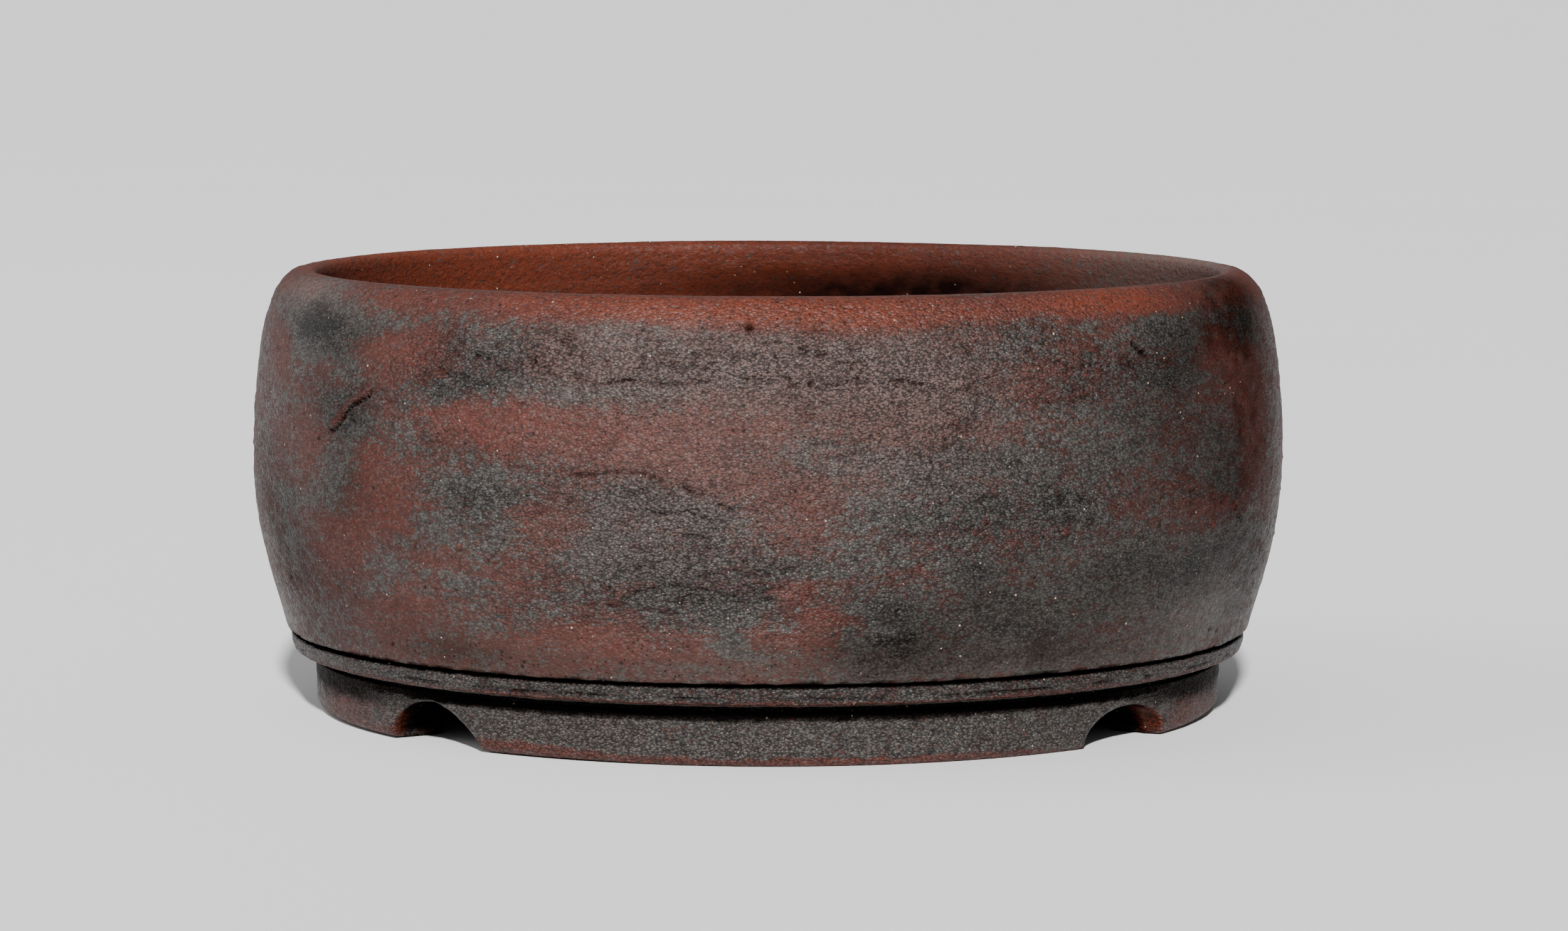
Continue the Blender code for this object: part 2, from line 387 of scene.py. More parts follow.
def clay_material(name):
    """Red stoneware under a worn iron wash; marks: wash, bare orange clay with painted light, grey film
    with painted sheen, painted shade, and torn.
    """
    g = Graph(name)
    level = g.mark("wash")
    torn = g.mark("torn")
    lying = g.stretch((1, 1, 1.5))
    fine = g.noise(0.70, 3, 0.65, lying)
    mottle = g.noise(2.0, 4, 0.65, lying)
    grain = g.noise(0.24, 2, 0.6, lying)
    sand_gap, sand_tint = g.cells(0.46, vector=lying), g.channels(g.cells(0.46, "Color", lying))
    grog_gap, grog_tint = g.cells(1.25, vector=lying), g.channels(g.cells(1.25, "Color", lying))
    body = g.span(sand_gap, 0.10, 0.55, 1, 0)
    cover = g.total(
        level,
        g.swing(fine, 1.2),
        g.swing(mottle, 1.7),
        g.swing(grain, 0.4),
        g.swing(sand_tint[0], 0.45),
        g.swing(grog_tint[0], 0.20),
    )
    cover = g.span(cover, 0.36, 0.60)
    red = g.blend(g.span(level, -0.15, 0.85), CLAY_RED, CLAY_BROWN)
    red = g.blend(g.times(g.span(g.noise(4.0, 4, 0.6), 0.35, 0.65), 0.35), red, CLAY_BROWN)
    red = g.blend(g.mark("orange_and_painted_light"), red, CLAY_ORANGE)
    red = g.blend(g.span(sand_tint[2], 0.45, 1.0, 0.0, 0.60), red, CLAY_BROWN)
    # The grey is painted lighter on the raised grain tops and darker in the gaps between them (painted
    # light and shade), with random tone on top.
    pale = g.total(
        g.swing(body, 0.55),
        g.swing(grain, 0.7),
        g.swing(fine, 1.0),
        g.swing(mottle, 1.0),
        g.swing(sand_tint[1], 0.25),
        0.55,
        g.swing(g.span(level, 0.6, 1.6), -0.7),
    )
    grey = g.blend(g.span(pale, 0.05, 1.0), WASH_BLACK, WASH_GREY)
    colour = g.blend(g.times(cover, 0.92), red, grey)
    colour = g.blend(g.mark("film_and_painted_sheen"), colour, FILM_AND_PAINTED_SHEEN_GREY)
    flake = g.noise(3.2, 5, 0.68, g.stretch((1, 1, 1.8)))
    ledges = g.total(g.span(flake, 0.40, 0.42), g.span(flake, 0.475, 0.495), g.span(flake, 0.55, 0.57))
    cracks = g.total(
        g.span(g.math("ABSOLUTE", g.math("SUBTRACT", flake, 0.478)), 0.002, 0.010, 1, 0),
        g.span(g.math("ABSOLUTE", g.math("SUBTRACT", flake, 0.552)), 0.002, 0.009, 0.8, 0),
    )
    cracks = g.times(cracks, g.span(torn, 0.25, 0.9, 0.0, 0.85))
    seams = g.times(g.span(sand_gap, 0.36, 0.66), g.span(torn, -0.5, 1, 0.0, 0.85))
    seams = g.math("MAXIMUM", seams, cracks)
    pits = g.math("MAXIMUM", g.flecks(0.62, 0.34, 0.30), g.flecks(1.5, 0.24, 0.22))
    pits = g.times(pits, g.span(torn, -0.5, 0.0, 0.2, 1.0))
    # Painted shade: seams, cracks and pits go near black, and the mark of painted shade darkens the clay
    # further.
    colour = g.blend(g.math("MAXIMUM", seams, g.times(pits, 0.7)), colour, SHADOW_BLACK)
    colour = g.blend(g.mark("painted_shade"), colour, SHADOW_BLACK)
    colour = g.blend(g.times(g.flecks(1.05, 0.16, 0.15), 0.60), colour, GROG_TAN)
    colour = g.blend(g.times(g.flecks(2.6, 0.22, 0.07), 0.90), colour, GROG_CREAM)
    colour = g.blend(g.times(g.flecks(1.3, 0.07, 0.11), 0.80), colour, GROG_CREAM)
    g.surface("Base Color", colour)
    rough = g.total(g.span(cover, 0, 1, 0.56, 0.42), g.swing(fine, 0.25))
    rough = g.math("SUBTRACT", rough, g.times(g.mark("film_and_painted_sheen"), 0.05))
    g.surface("Roughness", rough)
    glint = g.times(g.span(sand_tint[1], 0.55, 0.95), g.span(pale, 0.0, 0.8, 0.15, 1.0))
    open_clay = g.span(g.mark("painted_shade"), 0.0, 0.6, 1.0, 0.0)
    shine = g.times(g.total(0.22, g.times(glint, 0.35)), open_clay)
    g.surface("Specular IOR Level", shine)
    strength = g.span(torn, -0.5, 1, 0.05, 1.0)
    g.bumps(
        (g.times(ledges, g.span(torn, 0.15, 0.9)), 0.30),
        (g.times(g.noise(1.2, 4, 0.65, lying), torn), 0.60),
        (g.times(g.math("SUBTRACT", 1.0, sand_gap), strength), 0.34),
        (g.times(g.math("SUBTRACT", 1.0, grog_gap), strength), 0.22),
        (g.times(grain, strength), 0.12),
        (g.math("SUBTRACT", 1.0, pits), 0.08),
    )
    return g.material


# Worn and washed patches on the wall. Positive amounts are more iron wash, negative are redder.
WASH_PATCHES = (
    (5, 15.5, 13, 2.6, 0.45), (4, 57.8, 15, 2.6, -0.55), (-4, 49.5, 10, 3.5, -0.3),
    (12, 49, 10, 4, -0.35), (2, 53.5, 12, 2, -0.15), (-10, 38.5, 10, 3.5, -0.3),
    (-9, 26.5, 9, 4, -0.28), (22, 56.5, 7, 3, -0.25), (-26, 56.5, 9, 3, -0.25), (58, 38.5, 6, 6, 0.4),
    (-64, 33, 7, 13, -0.2), (-60, 60, 9, 3, 0.75), (-62, 55.5, 4, 4, 0.55), (-56, 57, 6, 2.2, 0.55),
    (-46, 58.2, 4, 1.3, 0.8), (-55, 54.5, 4, 1.5, 0.4), (-51, 52.2, 5, 1.6, 0.4), (-51, 45, 5, 4, 0.45),
    (-54, 37, 4, 4, 0.45), (-63, 33, 5, 4.5, 0.45), (-66, 26, 5, 3, 0.5), (-37, 50.5, 4, 1.8, 0.5),
    (-30, 56.5, 5, 2.6, 0.6), (-30, 51.8, 6, 1.5, 0.5), (-34, 37.6, 5, 2, 0.6), (-28, 37, 3, 3, 0.25),
    (-37, 31.5, 3, 2, 0.5), (-31, 32, 4, 2.5, 0.35), (-45, 27, 3, 3, 0.3), (-34, 24, 3, 1.6, 0.4),
    (-13, 57.8, 6, 2.2, 0.45), (-16, 51.6, 7, 1.6, 0.45), (-4, 55.5, 5, 4, 0.4),
    (-13, 36.8, 7, 3.6, 0.75), (-6, 33.8, 4, 3.2, 0.55), (-17, 31.5, 4, 2.5, 0.45),
    (-12, 27.4, 10, 2.8, 0.7), (-7, 23, 8, 2.6, 0.7), (-4, 18.2, 2, 2.6, 0.55), (5, 56.8, 6, 3.2, 0.35),
    (16, 14, 9, 2, 0.45), (14, 56.2, 4, 3, 0.35), (22, 50, 4, 1.5, 0.35), (25, 57.2, 5, 3.6, 0.3),
    (6, 45, 6, 3.8, 0.3), (14, 36, 6, 5, 0.45), (24, 42, 6, 2, 0.5), (24, 36, 4, 3, 0.45),
    (33, 35.6, 4, 4, 0.5), (22, 27.6, 3, 2.6, 0.65), (3, 28.2, 5, 2, 0.35), (13, 22.4, 5, 2.6, 0.8),
    (14, 17.8, 4, 1.6, 0.6), (26, 20, 6, 5, 0.6), (32, 17, 3, 4, 0.6), (40, 26.5, 10, 5, 0.5),
    (54, 25, 4, 3, 0.5), (63, 28, 6, 3, 0.45), (38, 44, 8, 6, 0.3), (48, 51.8, 6, 2.2, 0.55),
    (50, 58, 8, 2.6, 0.65), (67, 57.5, 5, 2.2, 0.45), (58, 19, 16, 6, 0.45), (34, 14.5, 12, 2.5, 0.45),
    (-69, 53.5, 5, 3.2, -0.8), (-58, 43, 4, 2.1, -0.75), (-59, 37.5, 3, 2.5, -0.45),
    (-43, 56, 6, 2.8, -0.9), (-43, 51.8, 6, 1.2, -0.6), (-57, 53, 3, 1.2, -0.4), (-44, 47, 2, 2, -0.35),
    (-32, 46.4, 7, 3, -0.75), (-47, 41.6, 3, 1.6, -0.4), (-45, 36.2, 5, 4.2, -0.85),
    (-50, 31, 4, 1.4, -0.8), (-53, 27.4, 5, 3, -0.6), (-23, 55.6, 2.2, 1.5, -0.75),
    (-12, 44.2, 11, 3.6, -0.8), (-4, 39.8, 5, 1.6, -0.6), (-23, 34, 4, 3.6, -0.55),
    (-14, 34.8, 2, 1.4, -0.3), (-26, 26, 5, 3, -0.3), (-18, 17.8, 10, 3.4, -0.45),
    (-46, 18.5, 10, 3.4, -0.3), (4, 51.8, 4, 1.3, -0.35), (14.5, 51, 4, 1, -0.35),
    (15, 47, 7, 2.4, -0.5), (29, 53, 6, 3, -0.2), (5, 39, 5, 2.2, -0.6), (2, 34, 4, 3, -0.5),
    (2.5, 25, 2.6, 2, -0.7), (6.5, 21.4, 2.6, 1.3, -0.9), (4, 16.8, 6, 3.4, -0.55),
    (54, 33.4, 6, 1.6, -0.65), (58, 55, 5, 2.4, -0.4), (64, 51, 6, 4.5, -0.5), (66, 39.5, 6, 8, -0.5),
    (130, 44.2, 12, 6, -0.6), (165, 29.2, 9, 5, -0.55), (-150, 49.2, 10, 4, -0.65),
    (-115, 32.2, 9, 5, -0.6), (105, 36, 8, 5, -0.45), (-85, 40, 8, 5, -0.4), (100, 51.2, 9, 5, 0.55),
    (150, 55.2, 8, 3, 0.5), (-170, 34.2, 12, 6, 0.5), (-130, 23.2, 10, 4, 0.45),
    (-100, 54.2, 8, 4, 0.5), (118, 25.2, 9, 4, 0.45),
)
# Smooth pale grey film and painted sheen: a painted highlight over the upper middle of the wall, and
# painted reflections of the bright floor low down and at the sides.
FILM_AND_PAINTED_SHEEN_PATCHES = (
    (1, 55, 17, 6, 0.84), (-20, 56, 9, 4.5, 0.55), (17, 51, 9, 6, 0.55), (-10, 35, 13, 10, 0.38),
    (12, 42, 12, 5, 0.34), (60, 17, 16, 5, 0.14), (38, 15.2, 16, 4, 0.15), (-5, 13.8, 28, 2.6, 0.25),
    (-38, 14.2, 14, 3.5, 0.2), (-72, 14.2, 12, 4, 0.2), (-66, 62.5, 13, 2.4, 0.55),
    (140, 17.2, 30, 6, 0.4), (-140, 15.2, 30, 5, 0.35),
)
# Painted shade: darker zones, mostly on the right side, at the left limb and low down.
PAINTED_SHADE_PATCHES = (
    (-37, 15, 8, 3, 0.2), (-41, 30, 5, 4, 0.16), (66, 47, 15, 17, 0.58), (66, 59, 9, 5, 0.35),
    (72, 62.5, 10, 2.5, 0.22), (57, 58, 7, 4, 0.22), (49, 54, 6, 5, 0.22), (46, 43, 9, 10, 0.28),
    (60, 36, 7, 7, 0.18), (68, 24, 14, 9, 0.22), (42, 26, 18, 6, 0.3), (24, 25, 5, 4, 0.22),
    (36, 17, 20, 6, 0.36), (14, 18, 9, 7, 0.36), (3, 15, 9, 4, 0.08), (70, 18, 8, 9, 0.22),
    (-64, 22, 11, 13, 0.38), (-71, 33, 9, 12, 0.28), (-54, 57, 8, 4, 0.32), (-57, 50, 6, 5, 0.18),
    (-49, 44, 6, 9, 0.16), (-47, 34, 8, 6, 0.12), (-45, 19, 12, 6, 0.2), (-20, 14, 22, 3, 0.22),
    (-52, 34, 6, 12, 0.14), (120, 30, 14, 12, 0.2), (-160, 52, 16, 6, 0.22), (-110, 20, 16, 6, 0.2),
)
# Torn and grainy zones of the surface.
TORN_PATCHES = (
    (-30, 55.2, 10, 4, 0.6), (-37, 51.2, 7, 2.5, 0.45), (-8, 55.2, 16, 5, 0.7), (14, 54.2, 13, 6, 0.75),
    (33, 53.2, 10, 6, 0.6), (47, 54.2, 7, 5, 0.5), (-12, 36.2, 10, 6, 0.75), (-7, 26.2, 13, 6, 0.85),
    (14, 44.2, 14, 6, 0.5), (22, 33.2, 12, 7, 0.5), (36, 35.2, 8, 6, 0.5), (14, 17.2, 6, 2.5, 0.5),
    (-34, 36.2, 8, 4, 0.4), (-52, 47.2, 6, 5, 0.4), (54, 35.2, 8, 4, 0.35), (110, 47.2, 16, 8, 0.6),
    (165, 39.2, 18, 10, 0.6), (-140, 44.2, 18, 9, 0.6), (-100, 35.2, 14, 8, 0.45),
)
# Tears and ridges: route, ridge mm and half-width, crack depth, half-width and offset, redness.
STROKES = (
    (((-53.6, 44.4), (-51.9, 46.5), (-50.1, 48.3), (-47.6, 49.9)), 0.55, 0.7, 0.75, 0.26, 0.75, 0.9),
    (((-36.4, 52.5), (-37.8, 53.1), (-37, 54.6)), 0.2, 0.6, 0.35, 0.3, 0.5, 0.5),
    (((-18, 52.8), (-14, 53.6), (-9.5, 52.9), (-5, 53.8)), 0.18, 0.6, 0.5, 0.32, 0.5, 0.1),
    (((-9, 56.6), (-5, 57.4), (-1, 56.8)), 0.12, 0.6, 0.4, 0.3, 0.4, 0),
    (((-4, 54.4), (0, 53.5), (5, 52.8), (9, 53.6)), 0.15, 0.7, 0.4, 0.3, 0.5, 0),
    (((10, 53.4), (15, 53.5), (20, 52.1)), 0.18, 0.6, 0.45, 0.3, 0.5, 0.1),
    (
        ((20, 52.2), (26, 50.6), (33, 49.8), (36.2, 51), (37.4, 53.2), (37.2, 56.2)),
        0.3, 0.6, 0.35, 0.3, 0.6, 0.4,
    ),
    (((43.2, 56.6), (44.2, 55.8), (45.2, 55.1)), 0.2, 0.5, 0.9, 0.42, 0.3, 0.3),
    (((14, 28.2), (16.5, 27), (19, 25.4)), 0.22, 0.35, 0.2, 0.25, 0.4, 0.6),
    (((-20, 40.8), (-15, 41.6), (-10, 40.4), (-6.5, 38.6), (-4, 36.6)), 0.22, 0.7, 0.45, 0.35, 0.6, 0.1),
    (((-16.5, 23.2), (-14, 25.4), (-9, 26.2), (-4, 25), (-1, 25.6)), 0.25, 0.7, 0.35, 0.35, 0.6, 0.3),
    (((-7, 27.4), (-3.5, 28.5), (0, 26.8)), 0.22, 0.6, 0.35, 0.3, 0.5, 0.1),
    (((2.6, 23.4), (3.9, 24.8), (4.1, 27), (2.9, 28.8)), 0.18, 0.5, 0.25, 0.25, 0.4, 0.3),
    (((42, 35.2), (46, 36.2), (50, 36.8), (55, 35.3), (60, 33.4)), 0.28, 0.6, 0.3, 0.3, 0.6, 0.3),
    (((59.8, 33.1), (61.8, 32), (63.2, 30.4)), 0.25, 0.5, 0.5, 0.35, 0.5, 0.4),
    (((10, 16.1), (13.5, 15.7), (17.5, 16.8), (18.5, 18.4)), 0.2, 0.5, 0.25, 0.3, 0.4, 0),
    (((11, 18.6), (15, 17.8), (17, 18.1)), 0.18, 0.5, 0.25, 0.3, 0.4, 0),
    (((-12, 36), (-8, 36.1), (-5, 34.6)), 0.2, 0.5, 0.35, 0.3, 0.5, 0),
    (((21, 36.8), (23.5, 38), (26, 36.6)), 0.22, 0.6, 0.35, 0.3, 0.5, 0.2),
    (((30.8, 37), (33.5, 37.6), (36.5, 35.8)), 0.22, 0.6, 0.35, 0.3, 0.5, 0.2),
)
# Single chips and crumbs: azimuth, height, lift in mm, half-width in mm, redness.
CRUMBS = (
    (-34, 29.8, 0.55, 0.45, 1), (32.6, 31.9, 0.45, 0.6, 0.6), (55.6, 30.6, 0.5, 0.7, 0.5),
    (60.4, 32.8, 0.45, 0.6, 0.7), (-2, 60.1, -0.5, 0.7, 0), (4.4, 52.9, -0.4, 0.5, 0),
    (22.9, 34.1, 0.4, 0.5, 0.5), (-2.4, 29.8, 0.35, 0.6, 0.2), (49.5, 37.9, 0.3, 0.5, 0.3),
    (-9, 24.1, 0.4, 0.5, 0.6), (-7.8, 21.2, 0.4, 0.4, 0.8),
)

# Where the rim is wiped to bare clay (positive) or left alone (negative).
RIM_WIPES = (
    (6, 62, 14, 6, 0.7), (44, 63, 7, 6, 0.6), (-60, 62, 20, 8, -1), (28, 62, 8, 6, -0.15),
    (64, 62, 12, 8, -0.8),
)
MM_PER_DEGREE = 1.309
RANDOM_TEARS = 110
PITS = 150
CRUMB_SCATTER = 420


def wall_outline():
    """Outer belly, rolled lip, inner face and the fillet onto the floor, with fine rows outside."""
    top = POT_HEIGHT
    foot = straight_path(
        [
            (BAND_RADIUS - 0.75 * MM, JOINT_HEIGHT + 0.12 * MM),
            (BAND_RADIUS + 0.15 * MM, JOINT_HEIGHT + 0.18 * MM),
            (BAND_RADIUS + 0.48 * MM, JOINT_HEIGHT + 0.36 * MM),
        ],
        0.3 * MM,
    )
    outer = smooth_path(
        [
            (BAND_RADIUS + 0.66 * MM, JOINT_HEIGHT + 0.80 * MM),
            (71.5 * MM, 16.4 * MM),
            (POT_RADIUS - 2.05 * MM, 21.4 * MM),
            (POT_RADIUS - 0.75 * MM, 27.4 * MM),
            (POT_RADIUS - 0.1 * MM, 34.5 * MM),
            (POT_RADIUS - 0.2 * MM, 42.0 * MM),
            (POT_RADIUS - 0.7 * MM, 49.0 * MM),
            (POT_RADIUS - 1.45 * MM, 55.0 * MM),
            (POT_RADIUS - 2.5 * MM, top - 5.0 * MM),
            (POT_RADIUS - 3.75 * MM, top - 2.4 * MM),
            (69.4 * MM, top - 0.55 * MM),
            (67.5 * MM, top - 0.05 * MM),
            (66.4 * MM, top - 0.2 * MM),
            (LIP_INNER_RADIUS, top - 0.8 * MM),
        ],
        0.46 * MM,
    )
    inner = smooth_path(
        [
            (65.9 * MM, top - 2.0 * MM),
            (67.5 * MM, top - 14.0 * MM),
            (68.0 * MM, 36.0 * MM),
            (66.2 * MM, 22.9 * MM),
            (63.6 * MM, 17.0 * MM),
            (61.6 * MM, FLOOR_TOP + 0.9 * MM),
            (59.9 * MM, FLOOR_TOP + 0.05 * MM),
        ],
        1.2 * MM,
    )
    seat = [(59.8 * MM, FLOOR_TOP - 0.4 * MM), (63.0 * MM, JOINT_HEIGHT + 0.14 * MM)]
    return np.vstack([foot, outer, inner, seat])


def random_tears(rng, count):
    """Short, mostly level tears scattered all round the wall."""
    for _ in range(count):
        azimuth, height = rng.uniform(-180, 180), rng.uniform(22, 60)
        reach, tilt = rng.uniform(1.0, 2.6), rng.normal(0, 0.5)
        bow = rng.normal(0, 0.5)
        yield (
            (azimuth - reach, height - tilt),
            (azimuth, height + bow),
            (azimuth + reach, height + tilt),
        ), rng.uniform(0.5, 1.0)


def wall():
    points, faces, normals = turned_points(wall_outline(), even_angles(WALL_COLUMNS))
    azimuth, height = around(points)
    outward = np.einsum("ij,ij->i", normals[:, :2], points[:, :2]) / POT_RADIUS
    outside = ease(-0.2, 0.3, outward)

    # Where the clay is wiped, washed and torn, and where the grey film and painted sheen lie.
    rim_level = height + 1.6 * sector(azimuth, 8, 13)
    rim = ease(59.6, 62.3, rim_level + 1.2 * fractal(points, 5, 17, 4, (1.5, 1.5, 1), 0.65))
    wide = fractal(points, 9, 3, 3)
    small = fractal(points, 2.6, 7, 3, (1.4, 1.4, 0.8))
    shifted = azimuth + 1.2 * wide + 1.4 * small
    raised = height + 1.0 * fractal(points, 8, 9, 3) + 1.0 * fractal(points, 2.2, 13, 2)
    general = fractal(points, 15, 21, 3, (1.4, 1.4, 0.8))
    streaks = fractal(points, 4.5, 25, 4, (1.9, 1.9, 0.55), 0.65)
    side = 0.6 + 0.4 * ease(70, 95, np.abs(azimuth))
    wash = 0.42 + 0.24 * general * side + 0.42 * streaks
    wash += 0.85 * patch_sum(shifted, raised, WASH_PATCHES)
    torn = 0.20 + 0.55 * patch_sum(shifted, raised, TORN_PATCHES) + 0.25 * general
    torn = np.clip(torn, 0.05, 1) * ease(14, 22, height) * (1 - 0.4 * rim) * outside
    film_and_painted_sheen = np.clip(patch_sum(shifted, raised, FILM_AND_PAINTED_SHEEN_PATCHES) + 0.15 * small, 0, 0.8) * outside
    film_and_painted_sheen *= 1 - rim * (1 - sector(azimuth, -66, 14))

    # Relief: a slow wobble, then terraces, grains and cracks where the clay is torn.
    wobble = 0.30 * fractal(points, 26, 41, 2) + 0.10 * fractal(points, 9, 43, 2)
    flakes = fractal(points, 5.0, 51, 4, (1.6, 1.6, 0.75), 0.6)
    terrace = ease(-0.02, 0.10, flakes) + 0.7 * ease(0.26, 0.34, flakes)
    grains = fractal(points, 1.4, 61, 2, (1.3, 1.3, 0.9), 0.8)
    veins = np.abs(fractal(points, 6.5, 71, 4, (2.0, 2.0, 0.6), 0.6))
    tears = (1 - ease(0.0, 0.06, veins)) * ease(0.05, 0.3, fractal(points, 10, 81, 2))
    creases = np.abs(fractal(points, 3.0, 75, 3, (1.8, 1.8, 0.7), 0.6))
    creases = (1 - ease(0.02, 0.10, creases)) * ease(-0.1, 0.25, fractal(points, 6, 83, 2))
    tears = np.maximum(tears, 0.7 * creases)
    lift = wobble * outside + torn * (0.25 * terrace + 0.30 * grains - 0.40 * tears - 0.16)
    lift += 0.035 * grains * outside
    # Painted shade in the tears and on the low grains of the torn clay.
    painted_shade = torn * np.clip(0.9 * tears + 0.55 * ease(0.25, 0.75, -grains), 0, 1)

    # Ridges and cracks that were drawn one by one, then scattered ones.
    broken = ease(-0.45, 0.15, fractal(points, 3.0, 97, 3))
    near_azimuth = azimuth + 0.7 * small
    near_height = height + 0.55 * fractal(points, 2.4, 91, 3)
    # Each crack and pit below is painted dark as shade.
    for route, ridge, half_width, depth, crack_width, offset, redness in STROKES:
        beyond = beside(near_azimuth, near_height, route)
        share = 1.0 if ridge > 0.5 else broken
        crest = share * hump(beyond, 0.75 * half_width)
        crack = share * hump(beyond - offset, 0.8 * crack_width)
        lift += (0.7 * ridge * crest - 0.8 * depth * crack) * outside
        painted_shade = np.maximum(painted_shade, crack * min(1.0, 1.2 * depth) * outside)
        wash -= redness * crest
    rng = np.random.default_rng(5)
    for route, share in random_tears(rng, RANDOM_TEARS):
        beyond = beside(near_azimuth, near_height, route)
        crack = hump(beyond - 0.35, 0.28) * share * (0.25 + 0.75 * torn) * outside
        lift += 0.16 * hump(beyond, 0.55) * share * outside - 0.35 * crack
        painted_shade = np.maximum(painted_shade, 0.5 * crack)
    for centre, level, amount, half_width, redness in CRUMBS:
        gap = np.hypot(turn_from(azimuth, centre) * MM_PER_DEGREE, height - level)
        crest = np.exp(-((gap / half_width) ** 3)) * outside
        lift += amount * crest
        wash -= redness * crest
        if amount < 0:
            painted_shade = np.maximum(painted_shade, 0.8 * crest)
        else:
            # Painted shadow under each raised crumb.
            below = height - level + 1.3 * half_width
            under = np.hypot(turn_from(azimuth, centre) * MM_PER_DEGREE, below)
            painted_shade = np.maximum(painted_shade, 0.7 * hump(under, 0.7 * half_width) * outside)
    pits = spots(azimuth, height, rng, PITS, 13.5, 63, (0.18, 0.32)) * outside
    crumbs = spots(azimuth, height, rng, CRUMB_SCATTER, 20, 61, (0.3, 0.55)) * outside
    crumbs *= 0.2 + 0.8 * torn
    lift += 0.26 * crumbs - 0.28 * pits
    painted_shade = np.maximum(painted_shade, 0.7 * pits)
    # Painted shade over the zones above, and low down near the groove where the wall faces downwards.
    painted_dark_zones = patch_sum(shifted, raised, PAINTED_SHADE_PATCHES) + 0.16 * ease(20, 13, height)
    painted_shade = np.maximum(painted_shade, painted_dark_zones * (0.88 + 0.25 * small))

    # Inner face: turning rings, the wash on its right, and painted shade that is darkest low down
    # behind, where a band of painted shadow from the front rim lies.
    inside = 1 - outside
    rings = np.sin(TAU * (height / 2.9 + azimuth / 360) + 1.5 * wide)
    lift += inside * ease(16, 20, height) * ease(63, 59, height) * (0.10 * rings + 0.03 * grains)
    inner_wash = 0.05 + 0.25 * general + 0.15 * streaks
    inner_wash += 0.30 * sector(azimuth, 112, 30) + 0.40 * sector(azimuth, 0, 70)
    # Painted shadow of the front rim: a band on the far inside wall, faded out lower down.
    rim_shadow_band = ease(62.0, 56.5, height + 0.8 * wide) * ease(44, 52, height)
    inner_shade = 0.10 + 0.25 * sector(azimuth, 168, 36)
    inner_shade += 0.60 * rim_shadow_band * sector(azimuth, 158, 36)
    inner_film_and_painted_sheen = 0.62 * sector(azimuth, 108, 28)
    wash = outside * wash + inside * inner_wash
    film_and_painted_sheen = outside * film_and_painted_sheen + inside * inner_film_and_painted_sheen
    painted_shade = np.where(outside > 0.5, painted_shade, inner_shade * (1 + 0.3 * small))

    # Bare orange clay on the wiped rim and inside; inside, the stronger orange on the left is painted
    # light where the far wall is lit.
    wiped = fractal(points, 11, 31, 3, (1.5, 1.5, 1)) + patch_sum(azimuth, height, RIM_WIPES)
    wiped = ease(-0.5, 0.6, wiped)
    wash -= rim * outside * (0.25 + 0.85 * wiped)
    orange_and_painted_light = rim * outside * (0.10 + 0.70 * wiped)
    orange_and_painted_light += 0.15 * ease(0.2, 0.8, fractal(points, 6, 35, 3)) * outside
    inner_orange_and_painted_light = 0.35 + 0.65 * sector(azimuth, -125, 45)
    inner_orange_and_painted_light += 0.30 * ease(-0.3, 0.6, fractal(points, 12, 37, 2)) - 0.5 * ease(0.3, 0.9, wash)
    orange_and_painted_light += inside * inner_orange_and_painted_light
    orange_and_painted_light = np.clip(orange_and_painted_light, 0, 1)
    # Painted shade in the groove at the foot of the wall.
    groove = 1 - ease(JOINT + 0.22, JOINT + 0.46, height + 0.22 * small)
    painted_shade = np.maximum(painted_shade, groove * outside)
    edge = hump(height - JOINT - 0.1, 0.5) * outside
    points = points + normals * (np.clip(lift, -1.1, 0.9) * MM * (1 - 0.7 * edge))[:, None]
    points[:, 2] += edge * 0.16 * MM * fractal(points, 2.4, 95, 3, (1, 1, 4))
    marks = {
        "wash": wash,
        "orange_and_painted_light": orange_and_painted_light,
        "film_and_painted_sheen": film_and_painted_sheen,
        "painted_shade": np.clip(painted_shade, 0, 0.96),
        "torn": torn - 0.45 * inside,
    }
    piece = mesh_object("pot_wall", points, faces, marks, clay_material("iron_washed_clay"))
    return place(piece, "iron_washed_stoneware", "wall")


